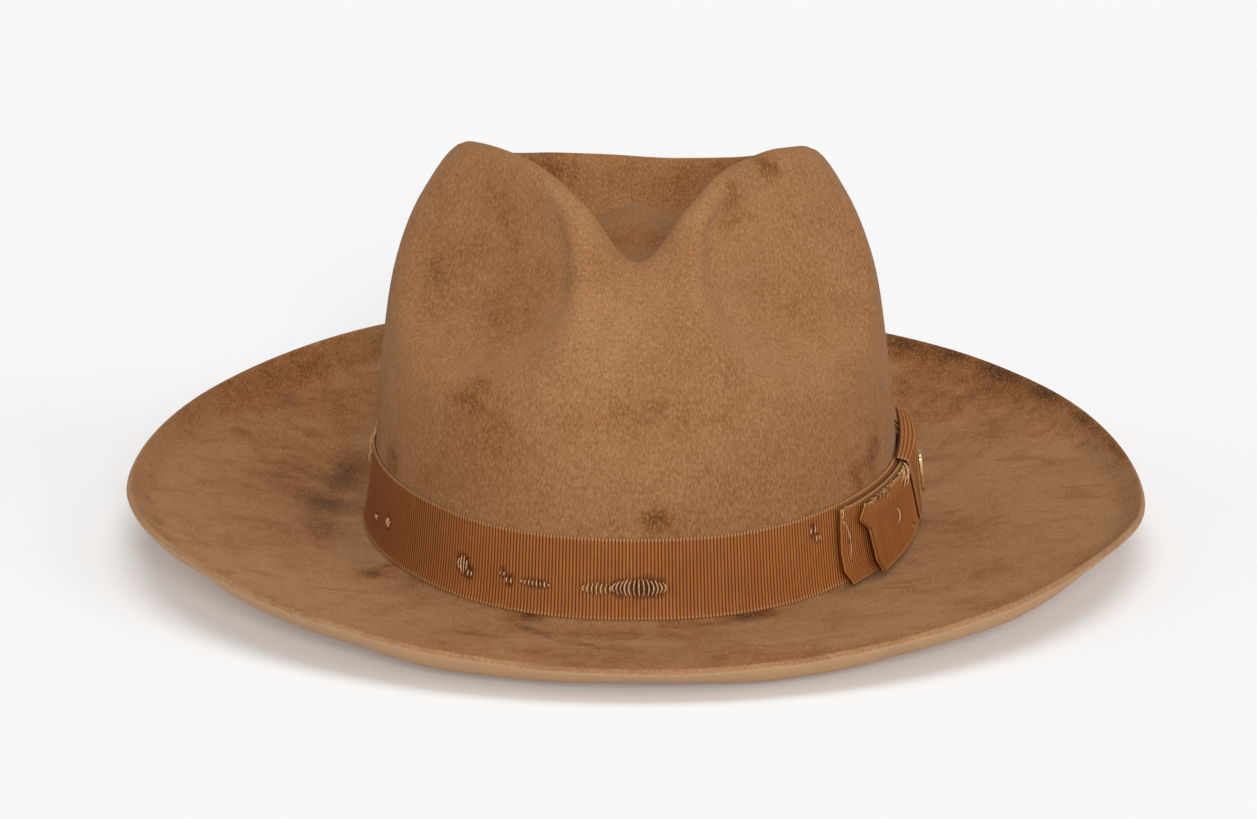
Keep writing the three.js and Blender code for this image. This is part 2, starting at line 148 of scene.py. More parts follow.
# The crown's rings: how far out each lies as a share of the head oval, and heights as shares.
crown_columns = ("at", "band", "wall", "shoulder", "upper", "crest", "top", "inner", "fall",
                 "crease", "low")
crown_rows = [
    (-150, 0.966, 0.937, 0.895, 0.815, 0.700, 0.822, 0.560, 0.700, 0.330, 0.680),
    (-120, 0.962, 0.932, 0.884, 0.790, 0.670, 0.880, 0.520, 0.740, 0.320, 0.690),
    (-90, 0.960, 0.935, 0.880, 0.775, 0.640, 0.955, 0.470, 0.825, 0.300, 0.695),
    (-65, 0.962, 0.932, 0.886, 0.790, 0.615, 0.996, 0.450, 0.880, 0.280, 0.700),
    (-45, 0.964, 0.932, 0.880, 0.785, 0.610, 1.000, 0.445, 0.895, 0.280, 0.705),
    (-30, 0.966, 0.930, 0.868, 0.770, 0.630, 0.976, 0.475, 0.872, 0.290, 0.710),
    (-15, 0.968, 0.930, 0.868, 0.775, 0.665, 0.909, 0.540, 0.800, 0.300, 0.715),
    (0, 0.968, 0.930, 0.868, 0.790, 0.690, 0.792, 0.560, 0.752, 0.300, 0.722),
    (15, 0.968, 0.930, 0.868, 0.775, 0.665, 0.902, 0.540, 0.800, 0.300, 0.715),
    (30, 0.966, 0.930, 0.868, 0.770, 0.630, 0.968, 0.475, 0.872, 0.290, 0.710),
    (45, 0.964, 0.930, 0.880, 0.785, 0.610, 0.986, 0.445, 0.885, 0.280, 0.705),
    (65, 0.962, 0.928, 0.884, 0.790, 0.615, 0.988, 0.450, 0.880, 0.280, 0.700),
    (90, 0.960, 0.925, 0.870, 0.770, 0.640, 0.945, 0.470, 0.825, 0.300, 0.695),
    (120, 0.962, 0.928, 0.880, 0.785, 0.670, 0.875, 0.520, 0.740, 0.320, 0.690),
    (150, 0.966, 0.935, 0.895, 0.815, 0.700, 0.820, 0.560, 0.700, 0.330, 0.680),
    (180, 0.968, 0.940, 0.905, 0.830, 0.712, 0.802, 0.580, 0.690, 0.330, 0.675),
]
# The pinches: angle, half angle, height and half height as shares of the crown's, depth share.
pinch_rows = [(-46, 33, 0.76, 0.27, 1.0), (46, 32, 0.77, 0.28, 0.92)]
pinch_rim = 1.2
pinch_fades_at = 0.5
pinch_fades_over = 0.2
# The front edge of each pinch is creased: a low ridge, then a step down into the pinch. It is
# sharpest low and toward the front, and fades by the shares below across and up the pinch.
crease_rim = (0.16, 0.44)
crease_depth = 2.8
crease_ridge = 0.6
ridge_width = 0.13
crease_middle = 0.45
crease_fade_across = 0.9
crease_fade_up = 0.5
# The brim's rings: how far out, then the shares of edge, foot, middle and seat in their height.
brim_rings = [
    (1.0, 1, 0, 0, 0),
    (0.955, 0.55, 0.45, 0, 0),
    (0.9, 0.13, 0.87, 0, 0),
    (0.8, 0, 1, 0, 0),
    (0.45, 0, 0, 1, 0),
    (0.17, 0, 0, 0, 1),
    (0.04, 0, 0, 0, 1),
]


def round_the_hat(columns, rows, name, angle):
    """One column of a table as a smooth closed curve, at the angles given."""
    at = np.array([row[0] for row in rows], float)
    value = np.array([row[columns.index(name)] for row in rows], float)
    at = np.concatenate([at[-2:] - 360, at, at[:2] + 360])
    value = np.concatenate([value[-2:], value, value[:2]])
    turned = (angle - at[2]) % 360 + at[2]
    slope = np.gradient(value, at)
    slope[1:-1] = (value[2:] - value[:-2]) / (at[2:] - at[:-2])
    i = np.clip(np.searchsorted(at, turned, side="right") - 1, 0, len(at) - 2)
    step = at[i + 1] - at[i]
    t = (turned - at[i]) / step
    ease = t * t * (3 - 2 * t)
    return (value[i] + ease * (value[i + 1] - value[i])
            + t * (1 - t) * step * ((1 - t) * slope[i] - t * slope[i + 1]))


def seat_height(angle):
    return felt_thickness + brim_lift * round_the_hat(brim_columns, brim_rows, "seat", angle)


def felt_stations(angle):
    """The felt's upper face on each ring from the brim's edge to the middle of the crown."""
    sine, cosine = np.sin(np.radians(angle)), np.cos(np.radians(angle))
    crown = {n: round_the_hat(crown_columns, crown_rows, n, angle) for n in crown_columns[1:]}
    brim = {n: round_the_hat(brim_columns, brim_rows, n, angle) for n in brim_columns[1:]}
    seat = seat_height(angle)
    rings = []
    for out, *parts in brim_rings:
        share = sum(part * brim[n] for part, n in zip(parts, brim_columns[1:]))
        rings.append((
            (head_width / 2 + brim_width_side * out) * sine,
            -(head_length / 2 + brim_width_front * out) * cosine,
            felt_thickness + brim_lift * share))
    crest, crease = crown["top"] * crown_height, crown["low"] * crown_height
    none = np.zeros_like(seat)
    for out, height in [
        (1.009, seat + break_rise * 0.2),
        (1.0, seat + break_rise),
        (crown["band"], seat + band_clear_of_brim + band_height),
        (crown["wall"], seat + (crest - seat) * 0.47),
        (crown["shoulder"], seat + (crest - seat) * 0.71),
        (crown["upper"], seat + (crest - seat) * 0.885),
        (crown["crest"], crest),
        (crown["inner"], crown["fall"] * crown_height),
        (crown["crease"], crease),
        (crown["crease"] / 2, (crease + hump_height) / 2 + 1),
        (none, none + hump_height),
    ]:
        out = out + none
        rings.append((
            head_width / 2 * out * sine,
            -head_length / 2 * out * cosine + hump_set_back * np.maximum(1 - out, 0),
            height))
    return np.array([np.stack(ring, -1) for ring in rings])


def felt_face(angle, lines):
    """Points of the felt's upper face; lines counts the stations from the brim's edge."""
    rings = felt_stations(angle)
    beyond = np.roll(rings[-2], len(angle) // 2, axis=0)
    rings = np.concatenate([2 * rings[:1] - rings[1:2], rings, beyond[None]])
    rows = []
    for line in lines:
        i = min(int(line), len(rings) - 4)
        t = line - i
        a, b, c, d = rings[i:i + 4]
        ab, bc, cd = (
            np.maximum(np.linalg.norm(q - p, axis=1), 1e-4)[:, None] ** 0.5
            for p, q in ((a, b), (b, c), (c, d)))
        start = ((b - a) / ab - (c - a) / (ab + bc) + (c - b) / bc) * bc
        end = ((c - b) / bc - (d - b) / (bc + cd) + (d - c) / cd) * bc
        ease = t * t * (3 - 2 * t)
        rows.append(b + ease * (c - b) + t * (1 - t) * ((1 - t) * start - t * end))
    points = np.array(rows)
    reach = np.hypot(points[..., 0] / head_width, points[..., 1] / head_length) * 2
    inward = -points[..., :2] / np.maximum(np.hypot(*points[..., :2].T).T, 1e-6)[..., None]
    push = np.zeros_like(reach)
    for at, half_angle, height, half_height, depth in pinch_rows:
        across = ((angle - at + 180) % 360 - 180) / half_angle
        up = (points[..., 2] / crown_height - height) / half_height
        inside = 1 - across**2 - up**2
        push += np.maximum(inside, 0) ** pinch_rim * depth * pinch_depth
        outward = math.copysign(1, at) * across
        sharp = crease_middle - crease_fade_across * outward - crease_fade_up * up
        sharp = np.clip(sharp, 0, 1)
        step = np.clip((inside - crease_rim[0]) / (crease_rim[1] - crease_rim[0]), 0, 1)
        push += sharp * crease_depth * step * step * (3 - 2 * step)
        push -= sharp * crease_ridge * np.exp(-((inside - crease_rim[0]) / ridge_width) ** 2)
    push *= np.clip((reach - pinch_fades_at) / pinch_fades_over, 0, 1)
    points[..., :2] += inward * push[..., None]
    return points


def mesh_object(name, points, faces):
    """A mesh of points in millimetres of the hat's own drawing, placed in the frame."""
    mesh = bpy.data.meshes.new(name)
    mesh.from_pydata(((np.reshape(points, (-1, 3)) + centring) / 1000).tolist(), [], faces)
    mesh.update()
    mesh.shade_smooth()
    piece = bpy.data.objects.new(name, mesh)
    bpy.context.collection.objects.link(piece)
    return piece


def keep_on_points(piece, **kept):
    """Keeps a number on each point of a piece under each name, for its material to read."""
    for name, values in kept.items():
        attribute = piece.data.attributes.new(name, "FLOAT", "POINT")
        attribute.data.foreach_set("value", np.ravel(values).astype(np.float32))


def grid_faces(rows, columns, closed_rows=False, closed_columns=True, first=0):
    """Quads over a grid of points, row by row."""
    faces = []
    for r in range(rows if closed_rows else rows - 1):
        here, above = first + r * columns, first + (r + 1) % rows * columns
        for k in range(columns if closed_columns else columns - 1):
            n = (k + 1) % columns
            faces.append((here + k, here + n, above + n, above + k))
    return faces


felt_angles = np.arange(angles_round) * 360 / angles_round
crown_ring_count = 11
station_count = len(brim_rings) + crown_ring_count
lines = np.arange((station_count - 1) * steps_per_station) / steps_per_station
ring_place = np.append(lines, station_count - 1)
upper_face = felt_face(felt_angles, ring_place)

# Soft lumps of a handled hat, up to about a millimetre: waves along X, Y and Z in turns for each
# millimetre, where they start, and their height. They leave out the foot of the crown and the
# middle of the hump, and are weaker at the brim's edge.
handling = [
    (0.0110, 0.0060, 0.0090, 0.4, 0.50),
    (-0.0090, 0.0140, 0.0050, 1.9, 0.45),
    (0.0210, -0.0160, 0.0140, 3.1, 0.16),
    (0.0290, 0.0250, -0.0230, 5.0, 0.07),
]
x, y, z = upper_face[..., 0], upper_face[..., 1], upper_face[..., 2]
lumps = sum(much * np.sin(2 * math.pi * (fx * x + fy * y + fz * z) + turn)
            for fx, fy, fz, turn, much in handling)
along = np.gradient(upper_face, axis=0)
round_it = np.roll(upper_face, -1, axis=1) - np.roll(upper_face, 1, axis=1)
normals = np.cross(round_it, along)
normals /= np.maximum(np.linalg.norm(normals, axis=-1, keepdims=True), 1e-9)
normals[-1] = (0, 0, 1)
crown_lumps_from = 11
brim_lumps_to = 4.5
hump_lumps_to = station_count - 1.6
lumps_fade_over = 1.5
edge_lumps = 0.35
free = np.clip((ring_place - crown_lumps_from) / lumps_fade_over, 0, 1)
free += (np.clip((brim_lumps_to - ring_place) / lumps_fade_over, 0, 1)
         * np.clip(edge_lumps + ring_place / 3, 0, 1))
free *= np.clip((hump_lumps_to - ring_place) / lumps_fade_over, 0, 1)
upper_face = upper_face + normals * (lumps * free[:, None])[..., None]
underside = upper_face - normals * felt_thickness
underside[..., 2] = np.maximum(underside[..., 2], 0)

# The cut edge is square, with its two corners barely rounded.
edge_share = (0.08, 0.3, 0.7, 0.92)
edge_swell = (0.10, 0.16, 0.16, 0.10)
edge_paleness = (0.15, 0.25, 0.35, 0.8)
out_there = upper_face[0] - upper_face[1]
out_there /= np.linalg.norm(out_there, axis=-1, keepdims=True)
edge = [
    upper_face[0] + (underside[0] - upper_face[0]) * share + out_there * swell
    for share, swell in zip(edge_share, edge_swell)
]
loops_of_felt = np.concatenate([upper_face[:-1][::-1], edge, underside[:-1]])
felt_points = np.concatenate([
    loops_of_felt.reshape(-1, 3), upper_face[-1][:1], underside[-1][:1]])
ring_count = len(loops_of_felt)
felt_faces = [face[::-1] for face in grid_faces(ring_count, angles_round)]
top_middle, under_middle = len(felt_points) - 2, len(felt_points) - 1
last_ring = (ring_count - 1) * angles_round
for k in range(angles_round):
    n = (k + 1) % angles_round
    felt_faces.append((k, n, top_middle))
    felt_faces.append((last_ring + n, last_ring + k, under_middle))
felt = mesh_object("felt", felt_points, felt_faces)


def by_ring(upper, edge, lower, top, bottom):
    """A number for each point of the felt, from one for each ring and for its two middles."""
    rings = np.concatenate([upper, edge, lower])
    return np.append(rings.repeat(angles_round), (top, bottom))


# Stations from the brim's edge where the brim gives way to the crown, and the crown to its dent.
brim_ends_at = 9.0
dent_starts_at = 13.3
upper_rings = lines[::-1]
no_ring = np.zeros(len(lines))
no_edge = np.zeros(len(edge_share))
# Each felt point keeps whether it lies on the underside, on the brim and inside the dent; the
# material paints bounce light, sheen and shade by these, and more stain texture on the brim.
keep_on_points(
    felt,
    under=by_ring(no_ring, edge_paleness, no_ring + 1, 0, 1),
    on_brim=by_ring(np.clip(brim_ends_at - upper_rings, 0, 1), no_edge + 1, no_ring, 0, 0),
    in_dent=by_ring(np.clip(upper_rings - dent_starts_at, 0, 1), no_edge, no_ring, 1, 0))


class Wire:
    """A socket of a node tree, so that shader maths reads as an expression."""

    def __init__(self, tree, socket):
        self.tree = tree
        self.socket = socket

    def node(self, kind, inputs=(), output=0, **settings):
        """A node of any kind; inputs maps its sockets to wires or plain values."""
        made = self.tree.nodes.new(kind)
        for key, value in settings.items():
            setattr(made, key, value)
        for key, value in dict(inputs).items():
            if isinstance(value, Wire):
                self.tree.links.new(value.socket, made.inputs[key])
            else:
                made.inputs[key].default_value = value
        return Wire(self.tree, made.outputs[output])

    def maths(self, operation, *values, clamp=False):
        return self.node("ShaderNodeMath", enumerate(values), operation=operation,
                         use_clamp=clamp)

    def __add__(self, other):
        return self.maths("ADD", self, other)

    __radd__ = __add__

    def __sub__(self, other):
        return self.maths("SUBTRACT", self, other)

    def __rsub__(self, other):
        return self.maths("SUBTRACT", other, self)

    def __mul__(self, other):
        return self.maths("MULTIPLY", self, other)

    __rmul__ = __mul__

    def clamped(self):
        return self.maths("ADD", self, 0.0, clamp=True)

    def between(self, low, high):
        """0 at low and 1 at high, with a smooth ramp; low may be the larger."""
        return self.node("ShaderNodeMapRange", {0: self, 1: low, 2: high},
                         interpolation_type="SMOOTHSTEP")

    def kept(self, name):
        """The number kept on the piece's points under a name."""
        return self.node("ShaderNodeAttribute", output="Fac", attribute_name=name)

    def noise(self, scale, detail=2.0, roughness=0.5, distortion=0.0):
        """Noise over the place that this wire carries; 0.5 in the middle."""
        return self.node("ShaderNodeTexNoise", {
            "Vector": self, "Scale": scale, "Detail": detail, "Roughness": roughness,
            "Distortion": distortion})

    def squeezed(self, x, y, z):
        return self.node("ShaderNodeVectorMath", {0: self, 1: (x, y, z)}, operation="MULTIPLY")

    def moved(self, x, y, z):
        return self.node("ShaderNodeVectorMath", {0: self, 1: (x, y, z)}, operation="ADD")

    def mixed(self, share, colour):
        """This colour gone over to another by the share."""
        colour = (*colour, 1) if isinstance(colour, tuple) else colour
        return self.node("ShaderNodeMix", {"Factor": share, 6: self, 7: colour}, output=2,
                         data_type="RGBA")

    def colour(self, red, green, blue):
        """A plain colour in this wire's tree."""
        made = self.node("ShaderNodeRGB")
        made.socket.default_value = (red, green, blue, 1)
        return made

    def bump(self, height, distance, strength=1.0, below=None):
        inputs = {"Height": height, "Distance": distance, "Strength": strength}
        if below:
            inputs["Normal"] = below
        return self.node("ShaderNodeBump", inputs)


def material_on(piece, name):
    """A new material on the piece: its Principled shader and the place in the frame."""
    made = bpy.data.materials.new(name)
    made.use_nodes = True
    piece.data.materials.append(made)
    place = Wire(made.node_tree, None).node("ShaderNodeTexCoord", output="Object")
    return made, made.node_tree.nodes["Principled BSDF"], place


def plug(material, shader, **wires):
    """Joins wires to the shader's inputs, whose names have underscores for spaces here."""
    for name, wire in wires.items():
        material.node_tree.links.new(wire.socket, shader.inputs[name.replace("_", " ")])


felt_material, felt_shader, place = material_on(felt, "felt")
on_brim = place.kept("on_brim")
in_dent = place.kept("in_dent")
cloudy = place.noise(11, 4, 0.55)
blotchy = place.noise(38, 5, 0.66, 0.4)
mottled = place.noise(120, 4, 0.68)
grainy = place.noise(900, 3, 0.7)
streaky = place.squeezed(0.3, 1, 1).noise(80, 5, 0.68, 0.8)
fibres = place.squeezed(1, 1, 0.4).noise(1700, 3, 0.75)
fuzz = place.noise(4200, 2, 0.6)

worn = place.colour(0.355, 0.165, 0.063)
worn = worn.mixed(cloudy.between(0.36, 0.66) * 0.6, (0.270, 0.118, 0.043))
# Painted sheen: the brim is painted paler and greyer, standing in for the felt's sheen seen at a
# low angle.
worn = worn.mixed(on_brim * 0.30, (0.400, 0.218, 0.108))
# Painted shade: the inside of the dent is painted evenly darker.
worn = worn.mixed(in_dent * 0.42, (0.205, 0.085, 0.030))
worn = worn.mixed(blotchy.between(0.47, 0.70) * (0.45 + on_brim * 0.35), (0.230, 0.086, 0.024))
worn = worn.mixed(mottled.between(0.48, 0.70) * (0.24 + on_brim * 0.16), (0.220, 0.084, 0.024))
worn = worn.mixed(mottled.between(0.5, 0.25) * 0.20, (0.430, 0.215, 0.095))
worn = worn.mixed(grainy.between(0.50, 0.72) * 0.34, (0.205, 0.080, 0.024))
worn = worn.mixed(grainy.between(0.50, 0.30) * 0.26, (0.450, 0.232, 0.108))
worn = worn.mixed(streaky.between(0.53, 0.72) * (0.10 + on_brim * 0.60), (0.185, 0.068, 0.018))

# Stains and patches of painted shade: middle in millimetres, half sizes, turn about Z in degrees,
# strength.
stains_and_shade = [
    ((-94, 46, 6), (9, 32, 9), -9, 0.95),
    ((-98, 15, 6), (13, 15, 9), 0, 1.00),
    ((-93, 54, 6), (8, 18, 8), -9, 1.00),
    ((-98, -12, 6), (9, 20, 8), 5, 0.50),
    ((-110, 36, 9), (20, 36, 10), -5, 0.42),
    ((-112, 98, 22), (46, 44, 22), 40, 0.28),
    ((-128, 66, 15), (10, 14, 8), 30, 0.20),
    ((-80, -57, 4.6), (6, 6, 3), 40, 0.90),
    ((-76, -50, 4.7), (4, 4, 3), 30, 0.70),
    ((-33, -94, 2.5), (7, 5, 3), 0, 0.80),
    ((-30, -109, 2), (14, 2.3, 3), -53, 1.00),
    ((-16, -124, 2.6), (13, 2.5, 3), -38, 1.00),
    ((-4, -131, 3), (10, 3, 3), -10, 0.65),
    ((-48, -116, 3), (12, 5, 3), -20, 0.45),
    ((34, -94, 2), (12, 3.2, 3), 26, 0.95),
    ((22, -101, 2), (10, 3, 3), 20, 0.65),
    ((74, -148, 9), (9, 4, 5), 28, 0.75),
    ((90, 139, 27), (18, 4.5, 9), -41, 0.85),
    ((106, 126, 26), (16, 4.6, 9), -45, 0.95),
    ((120, 110, 25), (20, 4.8, 9), -52, 1.00),
    ((134, 88, 23), (18, 4.2, 9), -60, 0.95),
    ((145, 63, 20), (16, 2.8, 8), -70, 0.80),
    ((153, 35, 18), (16, 2.2, 8), -80, 0.60),
    ((113, 74, 13), (12, 16, 6), 30, 0.24),
    ((122, 96, 17), (16, 7, 6), -40, 0.18),
    ((100, -15, 6), (14, 30, 6), 5, 0.16),
    ((106, -64, 8), (20, 16, 6), 30, 0.16),
    ((73, -39, 41), (6, 6, 5), 25, 0.80),
    ((67, -53, 35), (5, 5, 4), 35, 0.75),
    ((-46, -45, 110), (15, 14, 15), -30, 0.36),
    ((-60, -34, 99), (10, 14, 18), -50, 0.28),
    ((-51, -70, 62), (10, 9, 7), -30, 0.55),
    ((-44, -76, 55), (16, 9, 12), -30, 0.22),
    ((6, -96, 33), (6, 6, 4), 0, 0.75),
    ((3, -88, 63), (24, 8, 7), 0, 0.30),
    ((73, -44, 37), (5, 7, 5), 40, 0.85),
    ((68, -53, 33), (4, 5, 3.5), 40, 0.90),
    ((-75, -36, 34), (6, 12, 7), -50, 0.60),
    ((40, -34, 127), (5, 8, 5), 40, 0.60),
    ((30, -50, 118), (6, 6, 8), 20, 0.45),
    # Painted shade in the groove at the foot of the hump.
    ((4, 2, 96), (26, 7, 6), 0, 0.15),
    # Painted shade over the dent's inner face below the back ridge.
    ((0, 60, 110), (66, 18, 20), 0, 0.50),
    ((-10, -112, 3), (60, 10, 4), -4, 0.26),
    ((0, -140, 4), (95, 22, 8), 0, 0.14),
    ((108, 100, 22), (50, 30, 16), -52, 0.46),
    ((-46, -56, 92), (26, 14, 20), -25, 0.12),
    ((50, -50, 92), (16, 12, 14), 40, 0.13),
]
# Each point keeps how near it lies to the middle of its strongest patch, stains and painted shade
# alike, from 0 to 1. A patch reaches out to some way past its half sizes; a weak one has a share
# of a strong one's darkness.
stain_reach = 1.9
weakest_stain = 0.45
soiled = np.zeros(len(felt_points))
for middle, half_sizes, turn, much in stains_and_shade:
    away = felt_points - middle
    cosine, sine = math.cos(math.radians(turn)), math.sin(math.radians(turn))
    away = np.stack([away[:, 0] * cosine + away[:, 1] * sine,
                     away[:, 1] * cosine - away[:, 0] * sine, away[:, 2]], -1)
    near = np.clip(1 - np.linalg.norm(away / half_sizes, axis=1) / stain_reach, 0, 1)
    soiled = np.maximum(soiled, near * (weakest_stain + (1 - weakest_stain) * much))
keep_on_points(felt, soiled=soiled)
soil_and_shade = place.kept("soiled")
ragged = place.noise(62, 5, 0.7, 0.6)
frayed_out = place.noise(240, 4, 0.72)
broken = (ragged - 0.5) * 1.15 + (frayed_out - 0.5) * 0.65
# Halo and core darken the stains and the painted shade patches alike.
halo = (soil_and_shade + broken * soil_and_shade.between(0.0, 0.3) * 0.7).between(0.10, 0.62)
stain_and_shade_core = (soil_and_shade + broken * soil_and_shade.between(0.0, 0.35)).between(0.38, 0.80)
dark = worn.mixed(halo * 0.62, (0.250, 0.086, 0.018))
dark = dark.mixed(stain_and_shade_core * 0.85, (0.155, 0.050, 0.010))
dark = dark.mixed(stain_and_shade_core * soil_and_shade.between(0.62, 0.95) * 0.80, (0.060, 0.019, 0.005))

# Painted highlight: the front of the crown is painted paler, where the light falls most.
painted_front_highlight = place.moved(0.002, 0.088, -0.074).squeezed(22, 9, 17)
painted_front_highlight = painted_front_highlight.node("ShaderNodeVectorMath", {0: painted_front_highlight}, output="Value",
                             operation="LENGTH").between(1.0, 0.1)
felt_colour = dark.mixed(painted_front_highlight * 0.22, (0.43, 0.220, 0.092))
felt_colour = felt_colour.mixed(fibres.between(0.46, 0.66) * 0.42, (0.52, 0.305, 0.158))
felt_colour = felt_colour.mixed(fibres.between(0.50, 0.30) * 0.46, (0.165, 0.064, 0.020))
# Paler underside, fading in across the cut edge: partly the felt's own greyer underside, partly
# painted light bounced up from the floor.
felt_colour = felt_colour.mixed(place.kept("under") * 0.65, (0.53, 0.340, 0.200))

# A few pale specks of dust: small dots in seldom cells.
cells = {"Vector": place, "Scale": 46.0}
from_dot = place.node("ShaderNodeTexVoronoi", cells, output="Distance")
cell_shade = place.node("ShaderNodeTexVoronoi", cells, output="Color")
seldom = place.node("ShaderNodeSeparateColor", {0: cell_shade}).between(0.955, 0.965)
felt_colour = felt_colour.mixed(from_dot.between(0.022, 0.012) * seldom * 0.6, (0.8, 0.72, 0.6))

nap = place.bump(cloudy * 0.2 + mottled * 0.35, 0.0012, 0.35)
nap = place.bump(fibres, 0.00035, 0.55, nap)
nap = place.bump(fuzz, 0.00014, 0.5, nap)
plug(felt_material, felt_shader, Base_Color=felt_colour, Normal=nap,
     Roughness=0.90 - stain_and_shade_core * 0.12)
felt_shader.inputs["Specular IOR Level"].default_value = 0.10
felt_shader.inputs["Sheen Weight"].default_value = 0.09
felt_shader.inputs["Sheen Roughness"].default_value = 0.45
felt_shader.inputs["Sheen Tint"].default_value = (0.85, 0.62, 0.42, 1)

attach(felt, "root")
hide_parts("felt_body")


# Ribbon band
# Ribbed russet ribbon about an inch wide, sewn flat round the foot of the crown. Its ribs stand
# upright, both selvedges are beaded, and moths have left spots of bare threads along the front.
rib_count = 491
samples_per_rib = 4
band_low = 1.3
band_high = 25.3
band_gap = 0.12
band_body = 0.35
band_foot_ends = 3.2
rib_height = 0.24
rib_roundness = 0.8
bead_width = 0.04
bead_height = 0.9
bead_drop = 0.6
scallop_out = 0.006
bare_flatness = 0.8
bare_depth = 0.18

# The crown's wall by angle and height over the break, for what lies against it.
wall_step = 0.25
wall_top = 36
wall_angles = np.arange(0, 360, wall_step)
wall_heights = np.linspace(0, wall_top, 49)
wall_lines = np.linspace(7.5, 11.5, 120)
wall_face = felt_face(wall_angles, wall_lines)
wall_target = seat_height(wall_angles)[None] + np.maximum(wall_heights, break_rise)[:, None]
wall_xy = np.zeros((len(wall_heights), len(wall_angles), 2))
for j in range(len(wall_angles)):
    for axis in (0, 1):
        wall_xy[:, j, axis] = np.interp(wall_target[:, j], wall_face[:, j, 2],
                                        wall_face[:, j, axis])
wall_run = np.roll(wall_xy, -1, axis=1) - np.roll(wall_xy, 1, axis=1)
wall_out = np.stack([-wall_run[..., 1], wall_run[..., 0]], -1)
wall_out *= np.sign((wall_out * wall_xy).sum(-1))[..., None]
wall_out /= np.linalg.norm(wall_out, axis=-1, keepdims=True)


def wall(angle, height, off):
    """Points at an angle, a height over the break and a distance off the crown's wall."""
    angle, height, off = np.broadcast_arrays(*(np.asarray(v, float) for v in (angle, height, off)))
    a = angle % 360 / wall_step
    h = np.clip(height, 0, wall_heights[-1] - 1e-6) / (wall_heights[1] - wall_heights[0])
    i, j = h.astype(int), a.astype(int)
    u, v = (h - i)[..., None], (a - j)[..., None]
    j, n = j % len(wall_angles), (j + 1) % len(wall_angles)
    xy, out = (
        (grid[i, j] * (1 - v) + grid[i, n] * v) * (1 - u)
        + (grid[i + 1, j] * (1 - v) + grid[i + 1, n] * v) * u
        for grid in (wall_xy, wall_out))
    out /= np.linalg.norm(out, axis=-1, keepdims=True)
    return np.concatenate(
        [xy + out * off[..., None], (seat_height(angle) + height)[..., None]], -1)


def rib_shape(phase):
    """The round back of a rib, 0 in the gap and 1 on top."""
    return np.abs(np.sin(math.pi * phase)) ** rib_roundness


# Bare spots on the band: angle, height over the break, half angle, half height, strength.
bare_spots = [
    (-73.0, 9.0, 0.9, 1.5, 0.9),
    (-65.2, 11.0, 1.2, 1.9, 0.9),
    (-38.7, 11.2, 1.7, 3.0, 1.0),
    (-36.9, 9.2, 1.2, 2.2, 0.9),
    (-28.6, 11.6, 0.9, 1.5, 0.8),
    (-27.0, 10.0, 1.0, 2.0, 0.9),
    (-21.2, 10.2, 3.4, 1.3, 0.9),
    (-8.2, 10.5, 3.4, 2.2, 0.6),
    (-3.0, 10.6, 2.6, 2.6, 0.85),
    (1.6, 10.8, 4.4, 3.0, 1.0),
    (40.0, 20.4, 0.9, 2.2, 0.8),
    (41.0, 18.0, 0.8, 1.9, 0.7),
]


def bareness(angle, height, spots):
    """How far the cover of the ribs is gone, from 0 to 1."""
    turned = (angle + 180) % 360 - 180
    bare = np.zeros(np.broadcast(turned, height).shape)
    for at, up, half_angle, half_height, much in spots:
        ragged_edge = 0.22 * np.sin(turned * 9.1 + height * 1.3) + 0.15 * np.sin(turned * 23.7)
        far = np.hypot((turned - at) / half_angle, (height - up) / half_height) + ragged_edge
        bare = np.maximum(bare, much * np.clip((1.15 - far) / 0.3, 0, 1))
    return bare


def ribbed_sheet(name, run, place_of, ribs_along, bare_of, thickness, closed):
    """A ribbed ribbon: run is the way along it and rise the way across it, both from 0 to 1.

    place_of(run, rise, off) gives points; off is the distance over the ribbon's own inner face.
    The points keep the ribs, the place across and the bareness."""
    rise_rows = np.concatenate([
        [0.0, 0.012, 0.028, 0.05], np.linspace(0.08, 0.92, 29), [0.95, 0.972, 0.988, 1.0]])
    grid_run, grid_rise = np.meshgrid(run, rise_rows)
    shape = rib_shape(grid_run * ribs_along)
    bare = bare_of(grid_run, grid_rise)
    bead = np.clip(1 - np.minimum(grid_rise, 1 - grid_rise) / bead_width, 0, 1)
    tall = rib_height * (1 + bead_height * bead * (bead < 1) - bare_flatness * bare)
    off = (thickness - rib_height * (bead == 1) * bead_drop + tall * shape
           - bare_depth * bare)
    scallop = (grid_rise == 1) * 1.0 - (grid_rise == 0) * 1.0
    outer = place_of(grid_run, grid_rise + scallop * scallop_out * shape, off)
    inner_run, inner_rise = np.meshgrid(run, [1.0, 0.5, 0.0])
    inner = place_of(inner_run, inner_rise, 0.0)
    points = np.concatenate([outer, inner])
    rows, columns = points.shape[:2]
    faces = grid_faces(rows, columns, closed_rows=True, closed_columns=closed)
    if not closed:
        first = [r * columns for r in range(rows)]
        last = [r * columns + columns - 1 for r in range(rows)]
        faces += [tuple(first), tuple(reversed(last))]
    piece = mesh_object(name, points, faces)
    plain = np.zeros_like(inner_rise)
    keep_on_points(
        piece,
        rib_top=np.concatenate([shape, plain]),
        across=np.concatenate([grid_rise, inner_rise]),
        bare=np.concatenate([bare, plain]))
    return piece


